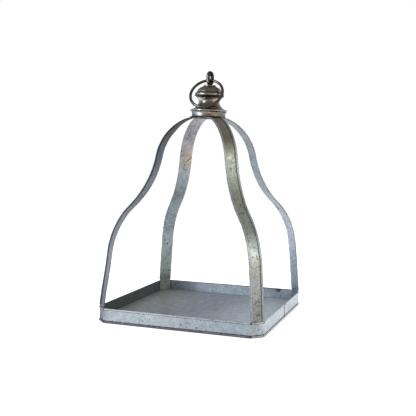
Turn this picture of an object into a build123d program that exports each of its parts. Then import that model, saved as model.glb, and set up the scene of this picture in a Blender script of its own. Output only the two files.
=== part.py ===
"""Open galvanised cloche frame: a clipped square tray, four ogee straps, a spun finial and a carrying ring.

Millimetres, +Z up. The origin is the middle of the underside of the tray.
"""

from build123d import *
import os
from math import cos, radians, sin, sqrt

os.makedirs("parts", exist_ok=True)

# ---- driving dimensions ----

sheet = 0.9  # gauge of the galvanised sheet
hole_play = 0.05  # radial play of the eye bolt in the holes it passes

# tray
tray_width = 304.8
corner_cut = 17.6  # length taken off each side where a corner is clipped
tray_height = 26.0
floor_level = 5.4  # top face of the raised floor
hem_proud = 1.3  # how far the hems stand out of the wall
top_hem = 2.8  # height of the turned-over top edge
bottom_hem = 3.2  # height of the seam that joins wall and floor
notch_radius = 1.1  # bite out of a hem at each bend
seam_y = 9.5  # lap seam of the wall, on the +X side
seam_lap = 11.0
seam_step = 0.5

# straps
strap_width = 26.0
strap_hem = 4.4  # width of each folded edge
strap_depth = 2.2  # overall, hem included
tab_width = 23.0  # plain tongue that goes down inside the tray, through a slot in its floor
tab_top = 28.0
crown_gap = 13.5  # from the axis to the square end of a strap
crown_flat = 11.8  # level stretch under the crown plate
crown_underside = 367.6
crown_bend_radius = 32.8
crown_bend_angle = 19.1
shoulder_radius = 92.9
shoulder_angle = 58.5
hollow_radius = 169.8
hollow_angle = 34.7
knee_radius = 128.5
knee_angle = 40.1
foot_radius = 14.0
# straight waist of each strap: the straps are bent by hand and differ a little
waist_runs = {
    "strap_front_left": 2.5,
    "strap_front_right": 15.0,
    "strap_back_right": 0.5,
    "strap_back_left": 13.0,
}
strap_bearings = {
    "strap_front_left": 225.0,
    "strap_front_right": 315.0,
    "strap_back_right": 45.0,
    "strap_back_left": 135.0,
}

# crown and finial; heights in this group are above the crown plate
crown_plate_radius = 33.0
crown_plate_thickness = 1.2
finial_lean = 1.6  # degrees, towards +X
finial_shift = 1.8  # of the finial's foot, towards +X
collar_radius = 31.2
collar_top = 9.3
collar_top_radius = 32.9
flange_radius = 34.6
flange_height = 12.7
neck_radius = 19.3
neck_top = 27.6
rim_radius = 27.4
rim_bottom = 37.4
rim_top = 43.9
dome_foot_radius = 23.5
dome_foot = 45.6
dome_top_radius = 12.4
dome_top = 56.1
boss_radius = 11.7
boss_top = 58.1
boss_sink = 1.9  # depth of the countersink the eye is seated in
boss_sink_radius = 5.4

# eye bolt, nut and ring
eye_wire = 7.0
eye_width = 22.2
eye_height = 27.3
eye_seat = 1.2  # how far the eye stands down into the countersink
eye_turn = 11.0  # the eye is turned a little off square to the ring
bolt_diameter = 6.0
nut_flats = 10.0
nut_thickness = 3.2
ring_wire = 5.1
ring_radius = 30.5  # to the middle of the wire
ring_play = 0.4  # gap under the ring's wire in the eye
ring_offset = -0.1  # the ring hangs a little off centre
ring_rest_angle = 33.3  # from hanging straight down, where it leans on the flange


# ---- shared geometry ----


def corner_points(outset):
    """Corners of the clipped square whose sides stand outset beyond the wall's outer face."""
    half = tray_width / 2 + outset
    near = half - (corner_cut + outset * (2 - sqrt(2)))
    quadrant = [(half, near), (near, half)]
    points = []
    for turn in range(4):
        for x, y in quadrant:
            for _ in range(turn):
                x, y = -y, x
            points.append((x, y))
    return points


def tray_ring(outer, inner):
    """Clipped square ring between two outsets, drawn into the current sketch."""
    Polygon(*corner_points(outer), align=None)
    Polygon(*corner_points(inner), align=None, mode=Mode.SUBTRACT)


clip_distance = (tray_width - corner_cut) / sqrt(2)
foot_inner = clip_distance - 2 * sheet

crown_plate_top = crown_underside + crown_plate_thickness

finial_plane = Plane(
    origin=(finial_shift, 0, crown_plate_top),
    x_dir=(cos(radians(finial_lean)), 0, -sin(radians(finial_lean))),
    z_dir=(sin(radians(finial_lean)), 0, cos(radians(finial_lean))),
)
finial_section = Plane(origin=finial_plane.origin, x_dir=finial_plane.x_dir, z_dir=-finial_plane.y_dir)
finial_axis = Axis(finial_plane.origin, finial_plane.z_dir)


# ---- tray ----

with BuildPart() as tray_wall:
    with BuildSketch(Plane.XY.offset(tray_height - top_hem)):
        tray_ring(hem_proud, -sheet / 2)
    extrude(amount=top_hem)
    with Locations(*[(x, y, tray_height - top_hem / 2) for x, y in corner_points(hem_proud)]):
        Cylinder(notch_radius, top_hem, mode=Mode.SUBTRACT)
    with Locations((tray_width / 2 + hem_proud, seam_y, tray_height - top_hem / 2)):
        Cylinder(notch_radius, top_hem, mode=Mode.SUBTRACT)
    with BuildSketch(Plane.XY.offset(sheet)):
        tray_ring(0, -sheet)
    extrude(amount=tray_height - sheet)
    with Locations((tray_width / 2, seam_y + seam_lap / 2, (tray_height + bottom_hem - top_hem) / 2)):
        Box(2 * seam_step, seam_lap, tray_height - top_hem - bottom_hem)
tray_wall.part.label = "tray_wall"
export_step(tray_wall.part, "parts/tray_wall.step")

with BuildPart() as tray_floor:
    with BuildSketch(Plane.XY.offset(floor_level - sheet)):
        Polygon(*corner_points(-sheet), align=None)
    extrude(amount=sheet)
    with BuildSketch(Plane.XY):
        tray_ring(-sheet, -2 * sheet)
    extrude(amount=floor_level)
    with BuildSketch(Plane.XY):
        tray_ring(hem_proud, -2 * sheet)
    extrude(amount=sheet)
    with BuildSketch(Plane.XY.offset(sheet)):
        tray_ring(hem_proud, 0)
    extrude(amount=bottom_hem - sheet)
    with Locations(*[(x, y, (bottom_hem + sheet) / 2) for x, y in corner_points(hem_proud)]):
        Cylinder(notch_radius, bottom_hem - sheet, mode=Mode.SUBTRACT)
    with Locations((0, 0, (floor_level + sheet) / 2)):
        with PolarLocations(foot_inner + sheet / 2, 4, start_angle=45):
            Box(sheet, tab_width, floor_level - sheet, mode=Mode.SUBTRACT)
tray_floor.part.label = "tray_floor"
export_step(tray_floor.part, "parts/tray_floor.step")


# ---- straps ----


def heading(slope):
    """Unit vector that falls outward at slope degrees below level."""
    return Vector(cos(radians(slope)), -sin(radians(slope)))


def bend_end(start, slope, radius, angle):
    """End of an arc that starts at slope and steepens by angle, or eases where angle is negative."""
    bend = 1 if angle > 0 else -1
    after = radians(slope + angle)
    before = radians(slope)
    run = bend * radius * (sin(after) - sin(before))
    drop = bend * radius * (cos(before) - cos(after))
    return start + Vector(run, -drop)


waist_slope = crown_bend_angle + shoulder_angle
skirt_slope = waist_slope - hollow_angle
leg_slope = skirt_slope + knee_angle
foot_bend = 90 - leg_slope


def straight_runs(waist):
    """Lengths of the skirt and the leg that bring a strap down to the inside of its clipped corner."""
    point = Vector(crown_gap + crown_flat, crown_underside - strap_depth)
    point = bend_end(point, 0, crown_bend_radius, crown_bend_angle)
    point = bend_end(point, crown_bend_angle, shoulder_radius, shoulder_angle)
    point += waist * heading(waist_slope)
    point = bend_end(point, waist_slope, hollow_radius, -hollow_angle)
    point = bend_end(point, skirt_slope, knee_radius, knee_angle)
    point = bend_end(point, leg_slope, foot_radius, foot_bend)
    left = Vector(foot_inner, tab_top) - point
    skirt, leg = heading(skirt_slope), heading(leg_slope)
    cross = skirt.X * leg.Y - skirt.Y * leg.X
    skirt_run = (left.X * leg.Y - left.Y * leg.X) / cross
    leg_run = (skirt.X * left.Y - skirt.Y * left.X) / cross
    return skirt_run, leg_run


def strap_line(waist):
    """Inner face of a strap in its own plane, from the crown down to the top of its tab."""
    skirt_run, leg_run = straight_runs(waist)
    start = (crown_gap, crown_underside - strap_depth)
    crown = Line(start, (crown_gap + crown_flat, start[1]))
    crown_bend = JernArc(crown @ 1, crown % 1, crown_bend_radius, -crown_bend_angle)
    shoulder = JernArc(crown_bend @ 1, crown_bend % 1, shoulder_radius, -shoulder_angle)
    waist_line = PolarLine(shoulder @ 1, waist, direction=shoulder % 1)
    hollow = JernArc(waist_line @ 1, waist_line % 1, hollow_radius, hollow_angle)
    skirt = PolarLine(hollow @ 1, skirt_run, direction=hollow % 1)
    knee = JernArc(skirt @ 1, skirt % 1, knee_radius, -knee_angle)
    leg = PolarLine(knee @ 1, leg_run, direction=knee % 1)
    JernArc(leg @ 1, leg % 1, foot_radius, -foot_bend)


def make_strap(name):
    """One strap: a web with both long edges folded over its outer face, and a plain tab at its foot."""
    bearing = radians(strap_bearings[name])
    waist = waist_runs[name]
    side = Plane(
        origin=(0, 0, 0),
        x_dir=(cos(bearing), sin(bearing), 0),
        z_dir=(sin(bearing), -cos(bearing), 0),
    )
    hem_middle = (strap_width - strap_hem) / 2
    with BuildPart() as strap:
        with BuildSketch(side):
            with BuildLine():
                strap_line(waist)
                offset(amount=sheet, side=Side.LEFT)
            make_face()
        extrude(amount=strap_width / 2, both=True)
        for hem_offset in (-hem_middle, hem_middle):
            with BuildSketch(side.offset(hem_offset)):
                with BuildLine():
                    strap_line(waist)
                    offset(amount=strap_depth, side=Side.LEFT)
                make_face()
            extrude(amount=strap_hem / 2, both=True)
        with BuildSketch(side):
            with BuildLine():
                Polyline(
                    (foot_inner, tab_top),
                    (foot_inner + sheet, tab_top),
                    (foot_inner + sheet, sheet),
                    (foot_inner, sheet),
                    close=True,
                )
            make_face()
        extrude(amount=tab_width / 2, both=True)
    strap.part.label = name
    return strap.part


straps = {name: make_strap(name) for name in strap_bearings}
for name, strap in straps.items():
    export_step(strap, f"parts/{name}.step")


# ---- crown ----

bolt_hole = bolt_diameter / 2 + hole_play

with BuildPart() as crown_plate:
    with BuildSketch(Plane.XY.offset(crown_underside)):
        Circle(crown_plate_radius)
        with Locations((finial_shift, 0)):
            Circle(bolt_hole + 2 * hole_play, mode=Mode.SUBTRACT)
    extrude(amount=crown_plate_thickness)
    fillet(crown_plate.edges().filter_by(GeomType.CIRCLE).group_by(SortBy.RADIUS)[-1], 0.4)
crown_plate.part.label = "crown_plate"
export_step(crown_plate.part, "parts/crown_plate.step")

with BuildPart() as collar:
    with BuildSketch(finial_section):
        with BuildLine():
            band = Line((collar_radius, -2), (collar_radius, 4.5))
            flare = ThreePointArc(band @ 1, (collar_radius + 0.4, 7.0), (collar_top_radius, collar_top))
            Line(flare @ 1, (collar_top_radius - 2 * sheet, collar_top))
            Line((collar_top_radius - 2 * sheet, collar_top), (collar_radius - sheet, 4.5))
            Line((collar_radius - sheet, 4.5), (collar_radius - sheet, -2))
            Line((collar_radius - sheet, -2), band @ 0)
        make_face()
    revolve(axis=finial_axis)
    split(bisect_by=Plane.XY.offset(crown_plate_top), keep=Keep.TOP)
collar.part.label = "collar"
export_step(collar.part, "parts/collar.step")


# ---- finial ----

with BuildPart() as finial_base:
    with BuildSketch(finial_section):
        with BuildLine():
            lip = Line((collar_top_radius - 2 * sheet, collar_top), (collar_top_radius, collar_top))
            bead = ThreePointArc(lip @ 1, (flange_radius, 11.0), (flange_radius - 1.1, flange_height))
            cove = ThreePointArc(bead @ 1, (24.3, 17.9), (neck_radius, neck_top - 1.2))
            Line(cove @ 1, (neck_radius, neck_top))
            Line((neck_radius, neck_top), (bolt_hole, neck_top))
            Line((bolt_hole, neck_top), (bolt_hole, neck_top - sheet))
            Line((bolt_hole, neck_top - sheet), (neck_radius - sheet, neck_top - sheet))
            inside = ThreePointArc((neck_radius - sheet, neck_top - sheet), (23.5, 17.3), (31.6, flange_height - 0.6))
            Line(inside @ 1, lip @ 0)
        make_face()
    revolve(axis=finial_axis)
finial_base.part.label = "finial_base"
export_step(finial_base.part, "parts/finial_base.step")

with BuildPart() as knob_lower:
    with BuildSketch(finial_section):
        with BuildLine():
            floor_line = Line((bolt_hole, neck_top), (neck_radius, neck_top))
            cup = ThreePointArc(floor_line @ 1, (21.4, 32.6), (rim_radius - 0.8, rim_bottom))
            Line(cup @ 1, (rim_radius - 0.2, rim_bottom + 1.4))
            Line((rim_radius - 0.2, rim_bottom + 1.4), (rim_radius - 1.4, rim_bottom + 1.4))
            inner_cup = ThreePointArc(
                (rim_radius - 1.4, rim_bottom + 1.4), (20.7, 33.3), (neck_radius - 0.6, neck_top + sheet)
            )
            Line(inner_cup @ 1, (bolt_hole, neck_top + sheet))
            Line((bolt_hole, neck_top + sheet), floor_line @ 0)
        make_face()
    revolve(axis=finial_axis)
knob_lower.part.label = "knob_lower"
export_step(knob_lower.part, "parts/knob_lower.step")

with BuildPart() as knob_upper:
    seam = rim_bottom + 1.4
    with BuildSketch(finial_section):
        with BuildLine():
            foot = Line((rim_radius - 1.4, seam), (rim_radius - 0.2, seam))
            rim = ThreePointArc(foot @ 1, (rim_radius, 41.0), (rim_radius - 1.8, rim_top))
            step = ThreePointArc(rim @ 1, (24.1, 44.4), (dome_foot_radius, dome_foot))
            dome = ThreePointArc(step @ 1, (19.8, 51.6), (dome_top_radius, dome_top - sheet))
            Line(dome @ 1, (dome_top_radius - 0.9, dome_top))
            Line((dome_top_radius - 0.9, dome_top), (bolt_hole, dome_top))
            Line((bolt_hole, dome_top), (bolt_hole, dome_top - sheet))
            Line((bolt_hole, dome_top - sheet), (dome_top_radius - 1.0, dome_top - sheet))
            under = ThreePointArc(
                (dome_top_radius - 1.0, dome_top - sheet), (19.1, 50.9), (dome_foot_radius - sheet, dome_foot)
            )
            Line(under @ 1, (rim_radius - 2.7, rim_top - sheet))
            Line((rim_radius - 2.7, rim_top - sheet), foot @ 0)
        make_face()
    revolve(axis=finial_axis)
knob_upper.part.label = "knob_upper"
export_step(knob_upper.part, "parts/knob_upper.step")

with BuildPart() as top_boss:
    with BuildSketch(finial_section):
        with BuildLine():
            Polyline(
                (bolt_hole, dome_top),
                (boss_radius - 0.5, dome_top),
                (boss_radius, dome_top + 0.5),
                (boss_radius - 0.2, boss_top - 0.7),
                (boss_radius - 1.2, boss_top),
                (boss_sink_radius, boss_top),
                (bolt_hole, boss_top - boss_sink),
                close=True,
            )
        make_face()
    revolve(axis=finial_axis)
top_boss.part.label = "top_boss"
export_step(top_boss.part, "parts/top_boss.step")


# ---- eye bolt and nut ----

eye_plane = Plane(
    origin=finial_plane.origin + finial_plane.z_dir * (boss_top - eye_seat + eye_height / 2),
    x_dir=finial_plane.y_dir.rotate(Axis((0, 0, 0), finial_plane.z_dir), -eye_turn),
    z_dir=finial_plane.x_dir.rotate(Axis((0, 0, 0), finial_plane.z_dir), -eye_turn),
)
eye_bend = (eye_width - eye_wire) / 2
eye_straight = eye_height - eye_width
bolt_bottom = -crown_plate_thickness - nut_thickness + 0.2

with BuildPart() as eye_bolt:
    with BuildLine(eye_plane) as eye_path:
        right = Line((eye_bend, -eye_straight / 2), (eye_bend, eye_straight / 2))
        over = RadiusArc(right @ 1, (-eye_bend, eye_straight / 2), -eye_bend)
        left = Line(over @ 1, (-eye_bend, -eye_straight / 2))
        RadiusArc(left @ 1, right @ 0, -eye_bend)
    with BuildSketch(Plane(origin=right @ 0, z_dir=right % 0)):
        Circle(eye_wire / 2)
    sweep(path=eye_path.wires()[0])
    with BuildSketch(finial_plane.offset(bolt_bottom)):
        Circle(bolt_diameter / 2)
    extrude(amount=boss_top - eye_seat + eye_wire / 2 - bolt_bottom)
eye_bolt.part.label = "eye_bolt"
export_step(eye_bolt.part, "parts/eye_bolt.step")

with BuildPart() as eye_nut:
    with BuildSketch(finial_plane.offset(-crown_plate_thickness - nut_thickness)):
        RegularPolygon(nut_flats / 2, 6, major_radius=False)
        Circle(bolt_hole, mode=Mode.SUBTRACT)
    extrude(amount=nut_thickness + 1)
    split(bisect_by=Plane.XY.offset(crown_underside), keep=Keep.BOTTOM)
eye_nut.part.label = "eye_nut"
export_step(eye_nut.part, "parts/eye_nut.step")


# ---- carrying ring ----

hinge_height = boss_top - eye_seat + eye_wire + ring_play + ring_wire / 2
hinge = finial_plane.origin + finial_plane.z_dir * hinge_height + finial_plane.x_dir * ring_offset
hang = (finial_plane.z_dir * -1).rotate(Axis((0, 0, 0), finial_plane.x_dir), -ring_rest_angle)
ring_plane = Plane(
    origin=hinge + hang * ring_radius,
    x_dir=finial_plane.x_dir,
    z_dir=finial_plane.x_dir.cross(hang),
)

with BuildPart(ring_plane) as carrying_ring:
    Torus(major_radius=ring_radius, minor_radius=ring_wire / 2)
carrying_ring.part.label = "carrying_ring"
export_step(carrying_ring.part, "parts/carrying_ring.step")
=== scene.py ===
"""Looks of the open galvanised cloche frame: a tray, four ogee straps, a spun finial and a carrying ring.

Lengths are millimetres until a mesh is made, which turns them into metres. Heights of the finial's parts are
above the crown plate, along the finial's own axis, which leans a little.
"""

from math import atan2, ceil, cos, pi, radians, sin, sqrt, tan

import bpy
from mathutils import Matrix, Vector, noise


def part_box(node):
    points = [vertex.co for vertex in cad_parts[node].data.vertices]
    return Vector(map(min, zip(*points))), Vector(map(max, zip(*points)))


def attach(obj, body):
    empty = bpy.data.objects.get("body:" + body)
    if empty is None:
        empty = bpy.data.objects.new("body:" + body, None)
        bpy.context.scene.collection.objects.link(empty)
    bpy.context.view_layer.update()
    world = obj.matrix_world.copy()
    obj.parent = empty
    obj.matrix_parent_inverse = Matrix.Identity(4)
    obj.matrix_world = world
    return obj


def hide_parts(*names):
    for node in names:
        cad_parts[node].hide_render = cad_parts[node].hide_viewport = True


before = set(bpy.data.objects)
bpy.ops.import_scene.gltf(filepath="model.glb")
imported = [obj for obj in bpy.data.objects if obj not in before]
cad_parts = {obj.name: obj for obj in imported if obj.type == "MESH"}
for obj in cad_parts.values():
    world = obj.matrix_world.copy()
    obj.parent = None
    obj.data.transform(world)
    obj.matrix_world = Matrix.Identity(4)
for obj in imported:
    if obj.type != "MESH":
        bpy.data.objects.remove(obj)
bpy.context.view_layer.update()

MM = 0.001


def cad_mm(node):
    """Lowest and highest corner of a CAD node, in millimetres."""
    low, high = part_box(node)
    return low / MM, high / MM


# ---- sizes ----

SHEET = 0.9
GAP = 0.4  # between a folded edge and the sheet under it
FOLD = SHEET + GAP / 2  # outer radius of a folded edge

# tray, from the frame
HEM_PROUD = 2 * FOLD - SHEET
TRAY_HALF = cad_mm("tray_wall")[1].x - HEM_PROUD
TRAY_TOP = cad_mm("tray_wall")[1].z
FLOOR_TOP = cad_mm("tray_floor")[1].z
CORNER_CUT = 17.6
BEND_RADIUS = 2.6
TOP_HEM = 2.8
BEAD_TOP = 3.2
SEAM_Y = 9.5
SEAM_LAP = 11.0
SEAM_STEP = 0.5
CLIP_DISTANCE = (2 * TRAY_HALF - CORNER_CUT) / sqrt(2)  # from the axis to a clipped corner's outer face

# straps
STRAP_WIDTH = 26.0
STRAP_HEM = 4.4
STRAP_DEPTH = 2 * FOLD
TAB_WIDTH = 23.0
TAB_TOP = 28.0
TAB_DISTANCE = CLIP_DISTANCE - 2 * SHEET  # from the axis to a tab's inner face
TAB_WELDS = [(-5.5, 15.5), (5.8, 14.2)]  # across the tab, and height
CROWN_GAP = 13.5
CROWN_FLAT = 11.8
CROWN_BEND = (32.8, 19.1)  # radius, and degrees turned
SHOULDER = (92.9, 58.5)
HOLLOW = (169.8, -34.7)
KNEE = (128.5, 40.1)
FOOT_RADIUS = 14.0
CROWN_UNDERSIDE = cad_mm("crown_plate")[0].z
CROWN_TOP = cad_mm("crown_plate")[1].z
CROWN_RADIUS = cad_mm("crown_plate")[1].x
# bearing in degrees, straight waist, and how far each strap is sprung outward and twisted by hand
STRAPS = {
    "strap_front_left": (225.0, 2.5, -2.2, -6.0),
    "strap_front_right": (315.0, 15.0, 1.0, 0.0),
    "strap_back_right": (45.0, 0.5, 1.4, 0.0),
    "strap_back_left": (135.0, 13.0, -1.3, 0.0),
}

# finial
LEAN = 1.6
SHIFT = 1.8
COLLAR_RADIUS = 31.2
COLLAR_TOP = 9.3
FLARE_RADIUS = 32.9
FLANGE_RADIUS = 34.6
FLANGE_TOP = 12.7
NECK_RADIUS = 19.3
NECK_TOP = 27.6
RIM_RADIUS = 27.4
RIM_SEAM = 38.8
DOME_FOOT = (23.5, 45.6)  # radius, height
DOME_TOP = (12.4, 56.1)
BOSS_RADIUS = 11.7
BOSS_TOP = 58.1
BOSS_SINK = (5.4, 1.9)  # radius and depth of the countersink the eye is seated in
BOLT_RADIUS = 3.0
EYE_WIRE = 7.0
EYE_WIDTH = 22.2
EYE_HEIGHT = 27.3
EYE_FOOT = BOSS_TOP - 1.2
EYE_TURN = 11.0
NUT_FLATS = 10.0
NUT_THICKNESS = 3.2
RING_WIRE = 5.1
RING_RADIUS = 30.5
RING_REST = 33.3
RING_OFFSET = -0.1
RING_PLAY = 0.4


# ---- mesh helpers ----


def rough(x, y=0.0, z=0.0):
    """Smooth noise from -1 to 1, the same on each run."""
    return noise.noise(Vector((x, y, z)))


def add_to_scene(name, data):
    """A new object with this data, in the scene."""
    thing = bpy.data.objects.new(name, data)
    bpy.context.scene.collection.objects.link(thing)
    return thing


def make_piece(name, points, faces, marks, body, nodes, material, sharp=38):
    """A finished piece from points in millimetres, with its marks stored for the material to read."""
    mesh = bpy.data.meshes.new(name)
    mesh.from_pydata([p * MM for p in points], [], faces)
    for mark, values in marks.items():
        layer = mesh.attributes.new(mark, "FLOAT", "POINT")
        layer.data.foreach_set("value", values)
    mesh.validate()
    mesh.shade_smooth()
    mesh.set_sharp_from_angle(angle=radians(sharp))
    mesh.materials.append(material)
    piece = add_to_scene(name, mesh)
    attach(piece, body)
    if nodes:
        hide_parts(*nodes)


def grid_faces(rows, columns, start=0, loop_rows=False, loop_columns=True):
    """Quads over a grid of points that is stored row by row."""
    faces = []
    for i in range(rows if loop_rows else rows - 1):
        for j in range(columns if loop_columns else columns - 1):
            after, beside = (i + 1) % rows, (j + 1) % columns
            faces.append(tuple(start + k for k in (
                i * columns + j, i * columns + beside, after * columns + beside, after * columns + j)))
    return faces


def arc(start, through, end, steps):
    """Points on the arc through three points in a plane, both ends included."""
    (ax, ay), (bx, by), (cx, cy) = start, through, end
    d = 2 * (ax * (by - cy) + bx * (cy - ay) + cx * (ay - by))
    a2, b2, c2 = ax * ax + ay * ay, bx * bx + by * by, cx * cx + cy * cy
    ox = (a2 * (by - cy) + b2 * (cy - ay) + c2 * (ay - by)) / d
    oy = (a2 * (cx - bx) + b2 * (ax - cx) + c2 * (bx - ax)) / d
    radius = sqrt((ax - ox) ** 2 + (ay - oy) ** 2)
    first, middle, last = (atan2(y - oy, x - ox) for x, y in (start, through, end))
    turn = (last - first) % (2 * pi)
    if (middle - first) % (2 * pi) > turn:
        turn -= 2 * pi
    angles = [first + turn * i / steps for i in range(steps + 1)]
    return [(ox + radius * cos(a), oy + radius * sin(a)) for a in angles]


def turn_about(centre, radius, first, last, steps):
    """Points of an arc about a centre, from one angle to another in degrees."""
    angles = [radians(first + (last - first) * i / steps) for i in range(steps + 1)]
    return [(centre[0] + radius * cos(a), centre[1] + radius * sin(a)) for a in angles]


def marked(line, crease=0.0, edge=0.0, *hem):
    """The points of a line with the same marks on each."""
    return [(a, b, crease, edge, *hem) for a, b in line]


def ease(t):
    """0 up to 0, 1 from 1 on, and a smooth rise between."""
    t = min(1.0, max(0.0, t))
    return t * t * (3 - 2 * t)


# ---- material helpers ----


class Nodes:
    """A node tree, each method adding one step and returning its output. place is the point shaded."""

    def __init__(self, tree, coordinates="Object"):
        self.tree = tree
        self.place = self.add("ShaderNodeTexCoord").outputs[coordinates]

    def add(self, kind, **settings):
        node = self.tree.nodes.new(kind)
        for key, value in settings.items():
            setattr(node, key, value)
        return node

    def feed(self, socket, value):
        if isinstance(value, bpy.types.NodeSocket):
            self.tree.links.new(value, socket)
        elif value is not None:
            socket.default_value = value

    def scaled(self, scale):
        node = self.add("ShaderNodeMapping")
        self.feed(node.inputs["Vector"], self.place)
        node.inputs["Scale"].default_value = scale
        return node.outputs["Vector"]

    def axis(self, letter, vector=None):
        """The X, Y or Z of a vector, or of the place."""
        node = self.add("ShaderNodeSeparateXYZ")
        self.feed(node.inputs["Vector"], vector or self.place)
        return node.outputs[letter]

    def mark(self, name):
        return self.add("ShaderNodeAttribute", attribute_name=name).outputs["Fac"]

    def bearing(self):
        """Turn about the axis: 0 and 1 on the left, 0.25 in front, 0.5 on the right, 0.75 behind."""
        turn = self.maths("ARCTAN2", self.axis("Y"), self.axis("X"))
        return self.maths("MULTIPLY_ADD", turn, 0.5 / pi, 0.5)

    def clouds(self, size, detail=3.0, roughness=0.5, warp=0.0, vector=None, seed=0.0):
        """Noise whose features are about size millimetres across, from 0 to 1."""
        node = self.add("ShaderNodeTexNoise", noise_dimensions="4D")
        self.feed(node.inputs["Vector"], vector or self.place)
        node.inputs["Scale"].default_value = 1 / (size * MM)
        node.inputs["Detail"].default_value = detail
        node.inputs["Roughness"].default_value = roughness
        node.inputs["Distortion"].default_value = warp
        node.inputs["W"].default_value = seed
        return node.outputs["Fac"]

    def cells(self, size, vector=None):
        """Cells about size millimetres across: a random number for each, and the distance to its middle."""
        node = self.add("ShaderNodeTexVoronoi")
        self.feed(node.inputs["Vector"], vector or self.place)
        node.inputs["Scale"].default_value = 1 / (size * MM)
        channels = self.add("ShaderNodeSeparateColor")
        self.feed(channels.inputs["Color"], node.outputs["Color"])
        return channels.outputs["Red"], node.outputs["Distance"]

    def span(self, value, low, high, start=0.0, end=1.0):
        """value between low and high, eased to run from start to end."""
        node = self.add("ShaderNodeMapRange", interpolation_type="SMOOTHSTEP")
        self.feed(node.inputs["Value"], value)
        for key, number in (("From Min", low), ("From Max", high), ("To Min", start), ("To Max", end)):
            node.inputs[key].default_value = number
        return node.outputs["Result"]

    def maths(self, operation, *values):
        node = self.add("ShaderNodeMath", operation=operation)
        for socket, value in zip(node.inputs, values):
            self.feed(socket, value)
        return node.outputs["Value"]

    def times(self, product, *factors):
        for factor in factors:
            product = self.maths("MULTIPLY", product, factor)
        return product

    def vectors(self, operation, *values):
        """A step of vector arithmetic, whose result is a number for a dot product, distance or length."""
        node = self.add("ShaderNodeVectorMath", operation=operation)
        for socket, value in zip(node.inputs, values):
            self.feed(socket, value)
        return node.outputs["Value" if operation in ("DOT_PRODUCT", "DISTANCE", "LENGTH") else "Vector"]

    def mix(self, share, a, b, blend="MIX"):
        node = self.add("ShaderNodeMix", data_type="RGBA", blend_type=blend)
        self.feed(node.inputs["Factor"], share)
        for socket, colour in ((node.inputs[6], a), (node.inputs[7], b)):
            self.feed(socket, colour if isinstance(colour, bpy.types.NodeSocket) else (*colour, 1.0))
        return node.outputs[2]

    def ramp(self, value, stops):
        node = self.add("ShaderNodeValToRGB")
        self.feed(node.inputs["Fac"], value)
        ramp = node.color_ramp
        ramp.interpolation = "EASE"
        while len(ramp.elements) < len(stops):
            ramp.elements.new(0.5)
        for element, (place, colour) in zip(ramp.elements, stops):
            element.position = place
            element.color = (*colour, 1.0)
        return node.outputs["Color"]

    def relief(self, *layers):
        """Bumps laid one over another, each given as (height, depth in millimetres)."""
        normal = None
        for height, depth in layers:
            node = self.add("ShaderNodeBump")
            node.inputs["Distance"].default_value = depth * MM
            self.feed(node.inputs["Height"], height)
            self.feed(node.inputs["Normal"], normal)
            normal = node.outputs["Normal"]
        return normal

    def grey(self, value):
        node = self.add("ShaderNodeCombineColor")
        for socket in node.inputs:
            self.feed(socket, value)
        return node.outputs["Color"]

    def warped(self, amount):
        """The place, pushed about by noise so that round marks come out ragged."""
        node = self.add("ShaderNodeTexNoise")
        self.feed(node.inputs["Vector"], self.place)
        node.inputs["Scale"].default_value = 1 / (2.0 * MM)
        return self.vectors("MULTIPLY_ADD", node.outputs["Color"], (amount * MM,) * 3, self.place)

    def toward(self, aim, low, high):
        """How far the place lies one way, from 0 to 1."""
        return self.span(self.vectors("DOT_PRODUCT", self.place, Vector(aim).normalized()), low, high)

    def past(self, aim, distance):
        """1 outside a face that is this many millimetres from the axis."""
        return self.toward(aim, (distance - 0.5) * MM, (distance + 0.2) * MM)

    def near(self, centre, reach):
        """1 at a place given in millimetres, fading to 0 a reach away from it."""
        away = self.vectors("DISTANCE", self.place, Vector(centre) * MM)
        return self.span(away, 0.2 * reach * MM, reach * MM, 1.0, 0.0)

    def strokes(self, direction, width, stretch):
        """Noise drawn out along one direction, each stroke about width millimetres across."""
        lie = Vector(direction).normalized()
        travel = self.vectors("DOT_PRODUCT", self.place, lie)
        squeezed = self.vectors("MULTIPLY_ADD", travel, lie * (1 / stretch - 1), self.place)
        return self.clouds(width, 3.0, 0.5, 0.3, vector=squeezed, seed=5.2)

    def arch(self, centre, radius):
        """1 on the upper half of a thin circle round a place given in millimetres."""
        apart = self.vectors("SUBTRACT", self.place, Vector(centre) * MM)
        off = self.maths("ABSOLUTE", self.maths("SUBTRACT", self.vectors("LENGTH", apart), radius * MM))
        upper = self.span(self.axis("Z", apart), -0.8 * MM, 0.4 * MM)
        return self.times(self.span(off, 0.7 * MM, 1.4 * MM, 1.0, 0.0), upper)


class Surface(Nodes):
    """A material's nodes, ending in its shader."""

    def __init__(self, name):
        self.material = bpy.data.materials.new(name)
        self.material.use_nodes = True
        super().__init__(self.material.node_tree)
        self.shader = self.tree.nodes["Principled BSDF"]

    def finish(self, colour, roughness, normal, metallic=1.0):
        self.feed(self.shader.inputs["Base Color"], colour)
        self.feed(self.shader.inputs["Roughness"], roughness)
        self.feed(self.shader.inputs["Normal"], normal)
        self.shader.inputs["Metallic"].default_value = metallic
        return self.material


# colours of the marks on zinc
# pale zinc of the edges: wear and a painted sheen
BARE_ZINC_AND_SHEEN = (0.46, 0.50, 0.57)
TARNISHED = (0.13, 0.11, 0.105)
COPPERY = (0.60, 0.45, 0.355)
SMUDGE = (0.12, 0.115, 0.10)
BLOTCH = (0.13, 0.125, 0.105)
PIT = (0.055, 0.045, 0.038)
SPECK = (0.06, 0.052, 0.045)
SCRATCH = (0.10, 0.095, 0.10)
SCORCH = (0.035, 0.03, 0.03)
# painted blue reflection on folded edges
BLUE_HEM_REFLECTION = (0.36, 0.43, 0.54)
DARK_SPOT = (0.045, 0.025, 0.02)
DARK_TOP_LINE = (0.06, 0.055, 0.05)
# painted shade and painted highlight for the seam at the tray's foot
BEAD_PAINTED_SHADE = (0.05, 0.065, 0.095)
BEAD_PAINTED_HIGHLIGHT = (0.60, 0.63, 0.68)
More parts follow.
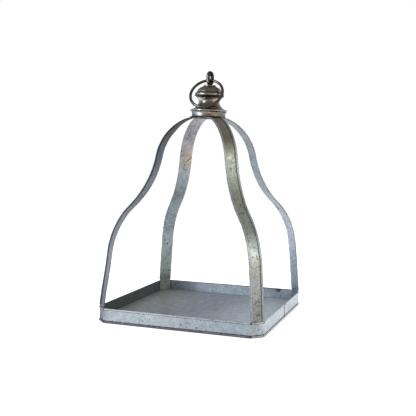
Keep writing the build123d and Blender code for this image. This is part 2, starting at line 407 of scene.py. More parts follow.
# near black painted shade for creases and gaps
CREASE_SHADE = (0.024, 0.023, 0.026)
RUSTY_DIRT = (0.10, 0.05, 0.03)
RUSTY_EDGE = (0.20, 0.12, 0.07)


def zinc(name, stops, gradient="along", pits=0.5, smudge=0.5, grain=(1, 1, 1), gloss=0.36, metallic=0.7,
         rust=0.5, speckle=1.0, crease_break=0.24, edge_colour=BARE_ZINC_AND_SHEEN, hem=0.0, bead=False, clean=None, blush=None,
         scratched=None, welds=(), dark_spots=()):
    """Aged galvanised sheet: spangle, smudges, dark pits, grime and painted shade in the creases, and edges
    marked by wear and a painted sheen.

    stops are the tints along the gradient mark, or round the tray if it is None, from 0 to 1; besides the
    sheet's own tone they also carry painted shade, light and reflections for the walls, floor and straps.
    pits, smudge, rust and speckle are how much there is of each, and grain squeezes the finest noise. The
    less dirty is, the more of the creases take the grime and painted shade. bare is the colour of the edges,
    for wear and a painted sheen, hem how much painted blue reflection the folded edges carry, and bead
    paints shade on the seam at the tray's foot in front and a highlight on it on the right. clean, blush and
    scratched are a (centre, reach) each: there the sheet has next to no pits, a copper tinge, or scratches.
    welds are a (centre, radius) each, a scorched arch, and stains a (centre, reach) each, a dark spot.
    """
    s = Surface(name)
    crease_mark, edge_mark = s.mark("crease"), s.mark("edge")
    # besides the sheet's own tone, these tints hold painted shade, light and reflections for the walls,
    # floor and straps
    tint = s.ramp(s.mark(gradient) if gradient else s.bearing(), stops)

    crystals = s.span(s.cells(6.0)[0], 0.0, 1.0, 0.93, 1.07)
    mottle = s.span(s.clouds(13.0, 5.0, 0.62, 0.4), 0.3, 0.72, 0.93, 1.07)
    fine = s.span(s.clouds(2.3, 3.0, 0.7, vector=s.scaled(grain)), 0.28, 0.72,
                  1 - 0.20 * speckle, 1 + 0.17 * speckle)
    colour = s.mix(1.0, tint, s.grey(s.times(crystals, mottle, fine)), "MULTIPLY")
    if blush:
        warm = s.times(s.near(*blush), s.span(s.clouds(11.0, 3.0, 0.6, seed=4.8), 0.25, 0.62, 0.3, 1.0))
        colour = s.mix(warm, colour, COPPERY)

    stain = s.times(s.span(s.clouds(16.0, 6.0, 0.66, 0.9, seed=3.1), 0.58, 0.74), smudge)
    colour = s.mix(stain, colour, SMUDGE)

    blotch = s.times(s.span(s.clouds(5.5, 4.0, 0.6, 0.9, seed=8.8), 0.54, 0.63),
                     s.span(s.clouds(34.0, 2.0, seed=2.6), 0.42, 0.54), smudge)
    colour = s.mix(blotch, colour, BLOTCH)

    pit_number, pit_distance = s.cells(7.0, s.warped(3.2))
    pit_size = s.span(pit_number, 0.30, 0.95, -0.02, 0.32)
    pit = s.span(s.maths("SUBTRACT", pit_size, pit_distance), 0.0, 0.10)
    spotted = s.span(s.clouds(30.0, 2.0, seed=7.7), 0.64 - 0.2 * pits, 0.70 - 0.2 * pits)
    if clean:
        spotted = s.times(spotted, s.maths("SUBTRACT", 1.0, s.near(*clean)))
    pit = s.times(pit, spotted, 0.85)
    colour = s.mix(pit, colour, PIT)

    speck = s.times(s.span(s.cells(3.6)[1], 0.10, 0.30, 1.0, 0.0),
                    s.span(s.clouds(11.0, 2.0, seed=1.3), 0.42, 0.54), spotted, pits)
    colour = s.mix(speck, colour, SPECK)

    if scratched:
        stroke = s.span(s.strokes((0.54, 0.54, 0.64), 3.4, 4.0), 0.545, 0.60)
        colour = s.mix(s.times(stroke, s.near(*scratched), 0.75), colour, SCRATCH)
    for centre, radius in welds:
        broken = s.span(s.clouds(1.6, 3.0, 0.6, seed=2.9), 0.3, 0.6, 0.2, 0.85)
        colour = s.mix(s.times(s.arch(centre, radius), broken), colour, SCORCH)
    # painted reflection: the folded edges take the blue of the shade on the left
    colour = s.mix(s.times(s.mark("hem"), hem), colour, BLUE_HEM_REFLECTION)

    # dark red-brown spots, most near the clipped corners and the seam
    for centre, reach in dark_spots:
        ragged = s.span(s.clouds(3.0, 4.0, 0.6, seed=6.3), 0.28, 0.46)
        colour = s.mix(s.times(s.near(centre, reach), ragged), colour, DARK_SPOT)
    # the top edge of the back and left walls darker
    if not gradient:
        top = s.span(s.axis("Z"), (TRAY_TOP - 2.2) * MM, (TRAY_TOP - 0.9) * MM)
        darker_top = s.times(top, s.toward((-0.4, 0.92, 0.0), 0.05, 0.09), 0.75)
        colour = s.mix(darker_top, colour, DARK_TOP_LINE)

    # the creases darken with grime, rusty in places, and with painted shade in the gaps under folds and
    # where sheets meet
    grime_and_shade = s.times(s.span(crease_mark, 0.15, 0.75),
                   s.span(s.clouds(2.2, 4.0, 0.6, seed=5.0), crease_break, crease_break + 0.25))
    # edges take the edge colour: wear, and on the walls and floor a painted sheen along the hem and bead
    wear_and_sheen = s.times(s.span(edge_mark, 0.35, 0.95), s.span(s.clouds(3.0, 3.0, seed=2.0), 0.35, 0.6))
    # on the seam at the foot: painted shade in front, a painted highlight on the right, less wear in front
    # and less crease darkening on the right
    if bead:
        front = s.maths("MAXIMUM", s.past((0, -1, 0), TRAY_HALF), s.past((-1, -1, 0), CLIP_DISTANCE))
        right = s.past((1, 0, 0), TRAY_HALF)
        streaky = s.span(s.clouds(9.0, 3.0, 0.6, seed=3.6), 0.3, 0.6, 0.55, 0.95)
        colour = s.mix(s.times(front, streaky), colour, BEAD_PAINTED_SHADE)
        colour = s.mix(s.times(right, 0.7), colour, BEAD_PAINTED_HIGHLIGHT)
        wear_and_sheen = s.times(wear_and_sheen, s.span(front, 0.0, 1.0, 1.0, 0.2))
        grime_and_shade = s.times(grime_and_shade, s.span(right, 0.0, 1.0, 1.0, 0.4))
    rusty = s.span(s.clouds(6.0, 2.0, seed=9.0), 0.5, 0.68)
    colour = s.mix(grime_and_shade, colour, s.mix(rusty, CREASE_SHADE, RUSTY_DIRT))
    rusty = s.span(s.clouds(12.0, 2.0, seed=4.4), 0.5, 0.62, 0.0, rust)
    colour = s.mix(s.times(wear_and_sheen, 0.75), colour, s.mix(rusty, edge_colour, RUSTY_EDGE))

    roughness = s.span(s.clouds(9.0, 4.0, 0.6, seed=6.0), 0.3, 0.7, gloss - 0.07, gloss + 0.12)
    roughness = s.maths("ADD", roughness, s.times(s.maths("MAXIMUM", grime_and_shade, stain), 0.22))
    relief = s.relief((s.clouds(26.0, 2.0), 0.18), (s.clouds(3.2, 4.0, 0.55), 0.05),
                      (s.clouds(0.9, 2.0, 0.5, vector=s.scaled(grain)), 0.012),
                      (s.times(s.maths("MAXIMUM", pit, speck), -1.0), 0.12))
    return s.finish(colour, roughness, relief, metallic)


def turning_lines(s, size, detail, roughness, across, along=None):
    """Noise that changes across a turned or drawn piece and hardly at all along it."""
    node = s.add("ShaderNodeCombineXYZ")
    s.feed(node.inputs["X"], across)
    s.feed(node.inputs["Y"], along)
    return s.clouds(size, detail, roughness, vector=node.outputs["Vector"])


def spun(name, stops, painted_lights, gloss):
    """Spun metal with turning marks, dull dark patches, and blushes given as (centre, reach, colour):
    painted highlights and painted reflections.
    """
    s = Surface(name)
    rings = turning_lines(s, 900.0, 5.0, 0.65, s.mark("turned"))
    tint = s.ramp(s.clouds(24.0, 3.0, 0.55, 0.6, seed=2.2), stops)
    light = s.times(s.span(rings, 0.3, 0.7, 0.86, 1.10),
                    s.span(s.clouds(7.0, 4.0, 0.6), 0.3, 0.7, 0.92, 1.06))
    colour = s.mix(1.0, tint, s.grey(light), "MULTIPLY")
    dull = s.span(s.clouds(6.0, 5.0, 0.65, 0.7, seed=8.0), 0.60, 0.78)
    colour = s.mix(s.times(dull, 0.15), colour, (0.14, 0.13, 0.11))
    # painted highlights and painted reflections, laid on as patches
    for centre, reach, blush in painted_lights:
        uneven = s.span(s.clouds(9.0, 3.0, seed=12.0), 0.3, 0.62, 0.25, 1.0)
        colour = s.mix(s.times(s.near(centre, reach), uneven), colour, blush)
    # the creases darken: painted shade under the knob's rim and under the flange, with some grime
    grime_and_shade = s.times(s.span(s.mark("crease"), 0.1, 0.8), s.span(s.clouds(2.5, 3.0, seed=1.0), 0.0, 0.28))
    colour = s.mix(s.times(grime_and_shade, 0.95), colour, (0.018, 0.016, 0.017))
    # pale edges: wear, and a painted highlight along the rim bead, the flange bead and the boss
    wear_and_sheen = s.times(s.span(s.mark("edge"), 0.4, 1.0), s.span(s.clouds(4.0, 3.0, seed=3.0), 0.3, 0.6), 0.28)
    colour = s.mix(wear_and_sheen, colour, (0.55, 0.54, 0.52))
    roughness = s.span(s.clouds(6.0, 4.0, 0.6, seed=6.0), 0.3, 0.7, gloss - 0.04, gloss + 0.04)
    roughness = s.maths("ADD", roughness, s.times(s.maths("MAXIMUM", grime_and_shade, dull), 0.2))
    relief = s.relief((rings, 0.010), (s.clouds(9.0, 2.0), 0.025), (s.clouds(1.2, 3.0), 0.003))
    return s.finish(colour, roughness, relief)


def dark_wire(name):
    """Bronzed wire: drawn lines along its length, and a painted highlight as a pale stripe along it."""
    s = Surface(name)
    lines = turning_lines(s, 1100.0, 3.0, 0.6, s.mark("around"), s.times(s.mark("turned"), 0.05))
    base = s.ramp(s.clouds(9.0, 4.0, 0.6, 0.5), [
        (0.30, (0.040, 0.036, 0.037)), (0.52, (0.062, 0.055, 0.056)), (0.72, (0.095, 0.084, 0.082))])
    colour = s.mix(1.0, base, s.grey(s.span(lines, 0.3, 0.7, 0.75, 1.25)), "MULTIPLY")
    # painted highlight: a pale stripe along one side of the wire
    off = s.maths("ABSOLUTE", s.maths("SUBTRACT", s.mark("around"), pi / 2))
    painted_highlight = s.times(s.span(off, 0.10, 0.75, 1.0, 0.0),
                     s.span(s.clouds(7.0, 3.0, 0.6, seed=4.0), 0.2, 0.6, 0.35, 1.0), 0.8)
    colour = s.mix(painted_highlight, colour, (0.36, 0.34, 0.36))
    # darker at the ring's weld, and painted shade at the foot of the eye on the boss
    colour = s.mix(s.times(s.span(s.mark("crease"), 0.1, 0.8), 0.9), colour, (0.02, 0.018, 0.016))
    roughness = s.span(s.clouds(4.0, 4.0, 0.6, seed=6.0), 0.3, 0.7, 0.20, 0.36)
    s.shader.inputs["Specular Tint"].default_value = (0.35, 0.33, 0.34, 1.0)
    return s.finish(colour, roughness, s.relief((lines, 0.03), (s.clouds(2.0, 4.0, 0.6), 0.03)))


def solder(name):
    """Dull lumpy solder, blackened by flux."""
    s = Surface(name)
    colour = s.ramp(s.clouds(2.5, 4.0, 0.6, 0.5), [
        (0.35, (0.020, 0.019, 0.018)), (0.56, (0.045, 0.043, 0.043)), (0.72, (0.20, 0.20, 0.21))])
    roughness = s.span(s.clouds(1.5, 3.0, seed=3.0), 0.3, 0.7, 0.32, 0.6)
    return s.finish(colour, roughness, s.relief((s.clouds(2.2, 3.0), 0.15), (s.clouds(0.8, 3.0, 0.6), 0.06)))


# ---- tray ----


def tray_corners():
    """Corners of the wall's outer face, counterclockwise from the +X side."""
    near = TRAY_HALF - CORNER_CUT
    corners = []
    for quarter in range(4):
        turn = Matrix.Rotation(quarter * pi / 2, 2)
        corners += [turn @ Vector((TRAY_HALF, near)), turn @ Vector((near, TRAY_HALF))]
    return corners


def tray_stations():
    """Stations round the wall: point, normal, distance round, share of a notch, how free the sheet is."""
    corners = tray_corners()
    trim = BEND_RADIUS * tan(pi / 8)
    close = [0, 0.3, 0.6, 1.0, 1.6, 2.6]
    stations, travelled = [], 0.0
    for i, corner in enumerate(corners):
        after = corners[(i + 1) % 8]
        along = (after - corner).normalized()
        out = Vector((along.y, -along.x))
        length = (after - corner).length
        open_length = length - 2 * (trim + close[-1])
        count = ceil(open_length / 3.2)
        middle = [trim + close[-1] + open_length * k / count for k in range(1, count)]
        steps = [trim + c for c in close] + middle + [length - trim - c for c in reversed(close)]
        if out.x > 0.99:
            seam = SEAM_Y - corner.y
            near_seam = (-0.9, -0.5, -0.06, 0.06, 0.5, 0.9, SEAM_LAP - 0.3, SEAM_LAP + 0.3)
            steps = sorted(steps + [seam + offset for offset in near_seam])
        for step in steps:
            from_bend = min(step, length - step) - trim + BEND_RADIUS * pi / 8
            stations.append((corner + along * step, out, travelled + step, notch_share(from_bend),
                             ease((min(step, length - step) - 3) / 25)))
        travelled += length
        bend_middle = after - along * trim - out * BEND_RADIUS
        for k in range(1, 8):
            bend = k / 8 * pi / 4
            normal = Matrix.Rotation(bend, 2) @ out
            from_bend = abs(k / 8 - 0.5) * BEND_RADIUS * pi / 4
            spot = bend_middle + normal * BEND_RADIUS
            stations.append((spot, normal, travelled, notch_share(from_bend), 0.0))
    return stations


def notch_share(distance):
    """How much of a hem is cut away at a distance from the middle of a bend."""
    return ease((1.25 - distance) / 0.5)


def wall_section():
    """Outline of the wall as (outset, height, crease, edge, hem share)."""
    fold = TRAY_TOP - FOLD
    hem_foot = TRAY_TOP - TOP_HEM
    lip = SHEET / 2
    fold_middle, lip_middle = (FOLD - SHEET, fold), (HEM_PROUD - lip, hem_foot + lip)
    outline = [(-SHEET, 1.0, 0, 0, 0)]
    outline += [(-SHEET, FLOOR_TOP - 0.3, 0.5, 0, 0), (-SHEET, FLOOR_TOP + 0.5, 0.3, 0, 0)]
    outline += marked([(-SHEET, h) for h in (FLOOR_TOP + 1.8, 10.0, 13.5, 17.0, 20.5)], 0, 0, 0)
    outline += [(-SHEET, fold - 0.3, 0.15, 0.1, 0)]
    outline += marked(turn_about(fold_middle, FOLD, 180, 110, 3), 0.45, 0.4, 0.1)
    outline += marked(turn_about(fold_middle, FOLD, 90, 66, 1), 0, 1, 0.3)
    outline += marked(turn_about(fold_middle, FOLD, 45, 0, 2), 0, 0.8, 1)
    outline += marked(turn_about(lip_middle, lip, 0, -90, 3), 0.1, 0.5, 1)
    outline += marked(turn_about(lip_middle, lip, -120, -180, 2), 1, 0, 1)
    outline += [(GAP, fold, 1, 0, 1), (GAP / 2, fold + GAP / 2, 1, 0, 0), (0, fold, 1, 0, 0)]
    outline += [(0, hem_foot, 1, 0, 0), (0, hem_foot - 0.7, 0.45, 0, 0)]
    outline += marked([(0, h) for h in (hem_foot - 1.6, 18.0, 14.5, 11.0, 8.0, BEAD_TOP + 1.7)], 0, 0, 0)
    outline += [(0, BEAD_TOP + 0.9, 0.9, 0, 0), (0, BEAD_TOP - 0.6, 1, 0, 0), (0, 1.0, 1, 0, 0)]
    return outline


def bead_section():
    """Outline of the floor's folded edge, from the floor's top round the bead to its underside."""
    tight = 0.45
    inner = -2 * SHEET - 0.05
    outline = [(-2.6, FLOOR_TOP, 0.1, 0, 0), (-1.7, FLOOR_TOP, 0.3, 0, 0)]
    outline += marked(turn_about((-1.55, FLOOR_TOP - 0.6), 0.6, 90, 0, 3), 1, 0, 0)
    outline += marked([(-SHEET - 0.05, 2.0), (-SHEET - 0.05, SHEET), (0.05, SHEET)], 1, 0, 0)
    outline += [(0.06, BEAD_TOP - 0.8, 1, 0, 0.3), (0.12, BEAD_TOP - 0.25, 1, 0, 0.6)]
    outline += marked(turn_about((HEM_PROUD - 0.75, BEAD_TOP - 0.6), 0.6, 130, 10, 4), 0, 1, 1)
    outline += [(HEM_PROUD, BEAD_TOP - 1.2, 0, 0.7, 1), (HEM_PROUD, 1.2, 0.3, 0.2, 1)]
    outline += marked(turn_about((HEM_PROUD - 0.9, 0.9), 0.9, -10, -80, 3), 0.75, 0.1, 1)
    outline += [(-0.6, 0, 0.5, 0, 0), (inner + tight, 0, 0.5, 0, 0), (inner, tight, 0.3, 0, 0)]
    outline += [(inner, FLOOR_TOP - SHEET - tight, 0, 0, 0), (inner - tight, FLOOR_TOP - SHEET, 0, 0, 0)]
    return outline


def sway(distance, height):
    """How far the sheet bows out of true, a distance round the tray."""
    slow = 0.30 * rough(distance / 75, 3.1) + 0.10 * rough(distance / 21, height / 30, 7.7)
    dent = max(0.0, rough(distance / 8.5, height / 8, 1.9) - 0.42)
    return slow - 0.55 * dent


def seam_out(point, out, lap):
    """How far the lapped end of the strip stands out, lap at most."""
    if out.x < 0.99 or point.y < SEAM_Y:
        return 0.0
    return lap * ease((SEAM_Y + SEAM_LAP - point.y) / (0.45 * SEAM_LAP))


def carry_round(outline, stations, lap):
    """Points and marks of a section carried round the tray, one row for each station."""
    points, crease, edge = [], [], []
    for point, out, distance, notch, free in stations:
        seam = seam_out(point, out, lap)
        seam_line = 1.0 if out.x > 0.99 and abs(point.y - SEAM_Y) < 0.6 else 0.0
        for outset, height, grime_and_shade, wear_and_sheen, hem in outline:
            cut = max(notch, seam_line * 0.8) * hem
            reach = outset * (1 - 0.8 * cut) if outset > 0 else outset
            reach += sway(distance, height) * free + (seam if outset >= 0 else 0.0)
            rise = 0.28 * rough(distance / 64, 9.3) * free * ease((height - 8) / 18)
            hem_wave = 0.14 * hem * rough(distance / 6.5, height / 3, 4.2)
            place = point + out * (reach + hem_wave * 0.7)
            points.append(Vector((place.x, place.y, height + rise + (hem_wave if height > 1 else 0.0))))
            crease.append(min(1.0, grime_and_shade + 0.9 * cut + 0.8 * seam_line))
            edge.append(wear_and_sheen * (1 - cut))
    return points, crease, edge


def make_tray_wall(material):
    """One strip of sheet, hemmed at the top and lapped on the right."""
    stations = tray_stations()
    outline = wall_section()
    points, crease, edge = carry_round(outline, stations, SEAM_STEP)
    faces = grid_faces(len(stations), len(outline), loop_rows=True)
    marks = {"crease": crease, "edge": edge}
    make_piece("galvanised_tray_wall", points, faces, marks, "frame",
               ["tray_wall"], material)


def dished(x, y):
    """How far the floor is out of flat."""
    return 0.45 * rough(x / 80, y / 80, 5.5) + 0.12 * rough(x / 24, y / 24, 2.5)


def make_tray_floor(material):
    """The raised floor and the seam round its edge, one sheet with a top and an underside."""
    stations = tray_stations()
    outline = bead_section()
    points, crease, edge = carry_round(outline, stations, 0.15)
    around, across = len(stations), len(outline)
    faces = [tuple(reversed(f)) for f in grid_faces(around, across, loop_rows=True, loop_columns=False)]

    def add_disc(first_column, height, shares, grime_and_shade, flip):
        """Rings from the folded edge in to the middle, closed with a fan."""
        ring = [i * across + first_column for i in range(around)]
        rim = [points[k].copy() for k in ring]
        for share in shares:
            start = len(points)
            for p in rim:
                x, y = p.x * share, p.y * share
                points.append(Vector((x, y, height + dished(x, y) * ease((1 - share) / 0.12))))
                crease.append(grime_and_shade * ease((share - 0.965) / 0.03))
                edge.append(0.0)
            for i in range(around):
                after = (i + 1) % around
                face = (ring[i], ring[after], start + after, start + i)
                faces.append(tuple(reversed(face)) if flip else face)
            ring = list(range(start, start + around))
        points.append(Vector((0, 0, height + dished(0, 0))))
        crease.append(0.0)
        edge.append(0.0)
        for i in range(around):
            face = (ring[i], ring[(i + 1) % around], len(points) - 1)
            faces.append(tuple(reversed(face)) if flip else face)

    add_disc(0, FLOOR_TOP, [0.993, 0.985, 0.97] + [0.94 - 0.06 * k for k in range(15)] + [0.05], 0.1, False)
    add_disc(across - 1, FLOOR_TOP - SHEET, [0.98] + [0.9 - 0.1 * k for k in range(9)], 0.3, True)
    # along runs from the left of the tray to the right, for the floor's painted shade
    marks = {"crease": crease, "edge": edge, "along": [(p.x / TRAY_HALF + 1) / 2 for p in points]}
    make_piece("galvanised_tray_floor", points, faces, marks, "frame",
               ["tray_floor"], material)


# ---- straps ----


def bent(radius, turn):
    """Length and turn of a bend given by its radius and its turn in degrees."""
    return abs(radius * radians(turn)), turn


def follow(stretches, step):
    """Stations of a line that falls from the crown: distance, radius, height, and degrees below level."""
    travelled, radius, height, slope = 0.0, CROWN_GAP, CROWN_UNDERSIDE - STRAP_DEPTH, 0.0
    stations = [(travelled, radius, height, slope)]
    for length, turn in stretches:
        count = ceil(length / step)
        for k in range(1, count + 1):
            now = slope + turn * k / count
            part = length * k / count
            if turn:
                curve = radians(turn) / length
                run = (sin(radians(now)) - sin(radians(slope))) / curve
                drop = (cos(radians(slope)) - cos(radians(now))) / curve
            else:
                run, drop = part * cos(radians(slope)), part * sin(radians(slope))
            stations.append((travelled + part, radius + run, height - drop, now))
        travelled, radius, height = stations[-1][:3]
        slope += turn
    return stations


def strap_stretches(waist):
    """Length and turn of each stretch, with the skirt and leg as long as brings the foot to its corner."""
    waist_slope = CROWN_BEND[1] + SHOULDER[1]
    skirt_slope = waist_slope + HOLLOW[1]
    leg_slope = skirt_slope + KNEE[1]
    foot_turn = 90 - leg_slope

    def all_stretches(skirt, leg):
        return [(CROWN_FLAT, 0), bent(*CROWN_BEND), bent(*SHOULDER), (waist, 0), bent(*HOLLOW), (skirt, 0),
                bent(*KNEE), (leg, 0), bent(FOOT_RADIUS, foot_turn)]

    _, radius, height, _ = follow(all_stretches(0, 0), 500)[-1]
    left = Vector((TAB_DISTANCE - radius, height - TAB_TOP))
    skirt = Vector((cos(radians(skirt_slope)), sin(radians(skirt_slope))))
    leg = Vector((cos(radians(leg_slope)), sin(radians(leg_slope))))
    crossed = skirt.cross(leg)
    return all_stretches(left.cross(leg) / crossed, skirt.cross(left) / crossed)


def strap_section():
    """Outline across a strap as (across, outward, crease, edge, hem), with a gap under each folded edge."""
    half = STRAP_WIDTH / 2
    fold = half - FOLD
    lip = SHEET / 2
    hem_end = half - STRAP_HEM + lip
    lip_middle = (hem_end, STRAP_DEPTH - lip)
    right = marked([(u, 0) for u in (0.0, 3.0, 6.0, 9.0, 10.8)], 0, 0, 0) + [(fold, 0, 0, 0.3, 0)]
    right += marked(turn_about((fold, FOLD), FOLD, -68, 68, 6), 0, 1, 1)
    right += [(fold, STRAP_DEPTH, 0, 0.6, 1), (fold - 1.4, STRAP_DEPTH, 0, 0.15, 1)]
    right += [(hem_end + 0.4, STRAP_DEPTH, 0.1, 0.1, 1)]
    right += marked(turn_about(lip_middle, lip, 100, 190, 3), 0.55, 0.2, 1)
    right += marked(turn_about(lip_middle, lip, 225, 270, 2), 1, 0, 1)
    right += [(fold, SHEET + GAP, 1, 0, 0.5), (fold + GAP / 2, SHEET + GAP / 2, 1, 0, 0)]
    right += marked([(fold, SHEET), (hem_end, SHEET)], 1, 0, 0)
    right += [(hem_end - 0.5, SHEET, 0.9, 0, 0), (hem_end - 1.0, SHEET, 0.3, 0, 0)]
    right += marked([(u, SHEET) for u in (hem_end - 2.0, 5.0, 2.5, 0.0)], 0, 0, 0)
    left = [(-u, w, d, e, h) for u, w, d, e, h in reversed(right[1:-1])]
    return right + left


def strap_frame(bearing):
    """Directions outward from the axis and across a strap."""
    turn = radians(bearing)
    return Vector((cos(turn), sin(turn), 0)), Vector((-sin(turn), cos(turn), 0))


def make_strap(node, material):
    """A strap with its tab, out of true the way a strip bent by hand is."""
    bearing, waist, sprung, twisted = STRAPS[node]
    outward, across = strap_frame(bearing)
    stations = follow(strap_stretches(waist), 1.8)
    length = stations[-1][0]
    outline = strap_section()
    points, crease, edge, along, hem_mark = [], [], [], [], []
    for travelled, radius, height, slope in stations:
        free = ease(travelled / 30) * ease((length - travelled) / 30)
        tilt = radians(slope)
        face = outward * sin(tilt) + Vector((0, 0, cos(tilt)))
        twist = radians(twisted) * ease((height - 190) / 60) * ease((362 - height) / 24)
        lift = sprung * ease((height - 35) / 75) * ease((250 - height) / 90)
        lift -= STRAP_WIDTH / 2 * abs(sin(twist))
        spot = outward * radius + Vector((0, 0, height)) + face * lift
        wide, face = across * cos(twist) + face * sin(twist), face * cos(twist) - across * sin(twist)
        for u, w, grime_and_shade, wear_and_sheen, hem in outline:
            side = 1 if u > 0 else -1
            lip_wander = 0.30 * rough(travelled / 15, side * 3, bearing)
            lip_wander += 0.14 * rough(travelled / 3.4, side, bearing)
            lip_share = hem * ease((STRAP_WIDTH / 2 - abs(u) - 1.2) / 2.0)
            edge_wander = 0.16 * rough(travelled / 33, side * 5, bearing + 9) * ease((abs(u) - 6) / 6)
            hammered = 0.10 * hem * rough(travelled / 2.6, u / 2.2, bearing)
            bow = 0.35 * rough(travelled / 60, 0.5, bearing)
            bow += 0.14 * rough(travelled / 12, u / 9, bearing + 4)
            shift = u + side * (edge_wander - lip_wander * lip_share)
            points.append(spot + wide * shift + face * (w + free * bow + hammered))
            crease.append(grime_and_shade)
            edge.append(wear_and_sheen)
            hem_mark.append(hem)
            along.append(1 - (spot.z - TAB_TOP) / (CROWN_UNDERSIDE - TAB_TOP))
    count = len(outline)
    faces = [tuple(reversed(f)) for f in grid_faces(len(stations), count)]
    faces += [tuple(range(count)), tuple(reversed(range(len(points) - count, len(points))))]
    add_tab(points, faces, (crease, edge, along), outward, across)
    hem_mark += [0.0] * (len(points) - len(hem_mark))
    marks = {"crease": crease, "edge": edge, "along": along, "hem": hem_mark}
    make_piece(f"hemmed_{node}", points, faces, marks, "frame", [node], material)


def add_tab(points, faces, marks, outward, across):
    """The plain tongue of a strap, with two spot welds pressed into it."""
    crease, edge, along = marks
    start = len(points)
    top, foot, inset = TAB_TOP + 3.0, SHEET + 0.3, 0.05
    rows, columns = 42, 33
    for side in (0, 1):
        for i in range(rows):
            height = top + (foot - top) * i / (rows - 1)
            for j in range(columns):
                u = TAB_WIDTH * (j / (columns - 1) - 0.5)
                spot = Vector((u, height))
                depth = sum(0.28 * ease(1 - (spot - Vector(weld)).length / 2.4) for weld in TAB_WELDS)
                reach = TAB_DISTANCE + inset + side * (SHEET - 2 * inset) + depth * (1 - side)
                points.append(outward * reach + across * u + Vector((0, 0, height)))
                crease.append(1.0 if height < FLOOR_TOP + 0.5 else 0.25 * ease(depth / 0.1))
                edge.append(0.0)
                along.append(1.0)
    sheet = rows * columns
    front = grid_faces(rows, columns, start, loop_columns=False)
    faces += front
    faces += [tuple(k + sheet for k in reversed(f)) for f in front]
    rim = list(range(columns)) + [i * columns + columns - 1 for i in range(1, rows)]
    rim += [(rows - 1) * columns + j for j in range(columns - 2, -1, -1)]
    rim += [i * columns for i in range(rows - 2, 0, -1)]
    for k, here in enumerate(rim):
        after = rim[(k + 1) % len(rim)]
        faces.append((start + after, start + here, start + here + sheet, start + after + sheet))


# ---- finial ----

FINIAL = Matrix.Translation((SHIFT, 0, CROWN_TOP)) @ Matrix.Rotation(radians(LEAN), 4, "Y")
FINIAL_AXIS = FINIAL.to_3x3() @ Vector((0, 0, 1))


def lathe(name, outline, node, material, wobble=0.10, segments=168, place=FINIAL):
    """Spins a closed outline of (radius, height, crease, edge) into a shell."""
    points, marks = [], {"crease": [], "edge": [], "turned": []}
    travelled, last, turned = 0.0, outline[0], []
    for spot in outline:
        travelled += sqrt((spot[0] - last[0]) ** 2 + (spot[1] - last[1]) ** 2)
        turned.append(travelled)
        last = spot
    for i in range(segments):
        angle = 2 * pi * i / segments
        across = Vector((cos(angle), sin(angle), 0))
        for (radius, height, grime_and_shade, wear_and_sheen), distance in zip(outline, turned):
            share = ease((radius - 8) / 10)
            out = wobble * share * (rough(across.x * 1.7, across.y * 1.7, height / 9)
                                    + 0.6 * rough(across.x * 6, across.y * 6, height / 3))
            points.append(place @ (across * (radius + out) + Vector((0, 0, height))))
            marks["crease"].append(grime_and_shade)
            marks["edge"].append(wear_and_sheen)
            marks["turned"].append(distance)
    faces = grid_faces(segments, len(outline), loop_rows=True)
    make_piece(name, points, faces, marks, "frame", [node], material)


def shell(outside, inside):
    """Closed outline from an outer line with marks and an inner line without, both from foot to top."""
    return list(reversed([(r, h, d, e) for r, h, d, e in outside])) + [(r, h, 0.0, 0.0) for r, h in inside]


def make_collar(material):
    """Plain band with a rolled foot, flaring to the flange."""
    outside = marked([(COLLAR_RADIUS - 0.2, 0.05), (COLLAR_RADIUS + 0.15, 0.3)], 0.8)
    outside += marked([(COLLAR_RADIUS + 0.25, 0.8), (COLLAR_RADIUS + 0.1, 1.3)], 0.1, 0.4)
    outside += marked([(COLLAR_RADIUS, h) for h in (1.8, 2.7, 3.6)])
    flare = arc((COLLAR_RADIUS, 4.5), (COLLAR_RADIUS + 0.4, 7.0), (FLARE_RADIUS, COLLAR_TOP - 0.25), 7)
    # the top of the flare, under the flange, is marked for painted shade
    outside += marked(flare[:-2]) + marked(flare[-2:], 0.9)
    inside = [(COLLAR_RADIUS - SHEET, 0.05), (COLLAR_RADIUS - SHEET, 4.5),
              (FLARE_RADIUS - 2 * SHEET, COLLAR_TOP - 0.25)]
    lathe("spun_collar", shell(outside, inside), "collar", material)


def make_finial_base(material):
    """Flange with a thick bead, a cove above it, and the neck."""
    outside = marked([(FLARE_RADIUS - 0.4, COLLAR_TOP), (FLARE_RADIUS + 0.1, COLLAR_TOP + 0.05)], 0.9)
    bead = arc((FLARE_RADIUS + 0.5, COLLAR_TOP + 0.2), (FLANGE_RADIUS, 11.0),
               (FLANGE_RADIUS - 1.1, FLANGE_TOP), 9)
    # the flange bead's edge mark gives it a pale line: wear and a painted highlight
    outside += marked(bead[:2], 0.3, 0.2) + marked(bead[2:-2], 0.0, 0.9) + marked(bead[-2:], 0.2, 0.4)
    cove = arc((FLANGE_RADIUS - 1.7, FLANGE_TOP + 0.12), (24.2, 17.9), (NECK_RADIUS, NECK_TOP - 1.4), 26)
    outside += marked(cove[:3], 0.5) + marked(cove[3:])
    outside += marked([(NECK_RADIUS, NECK_TOP - 0.5), (NECK_RADIUS - 0.1, NECK_TOP - 0.06)], 0.35)
    outside += marked([(NECK_RADIUS - 0.8, NECK_TOP), (BOLT_RADIUS + 0.1, NECK_TOP)], 0.6)
    inside = [(FLARE_RADIUS - 2 * SHEET, COLLAR_TOP), (FLANGE_RADIUS - 3.0, FLANGE_TOP - 0.6), (23.5, 17.3),
              (NECK_RADIUS - SHEET, NECK_TOP - SHEET), (BOLT_RADIUS + 0.1, NECK_TOP - SHEET)]
    lathe("spun_finial_base", shell(outside, inside), "finial_base", material)


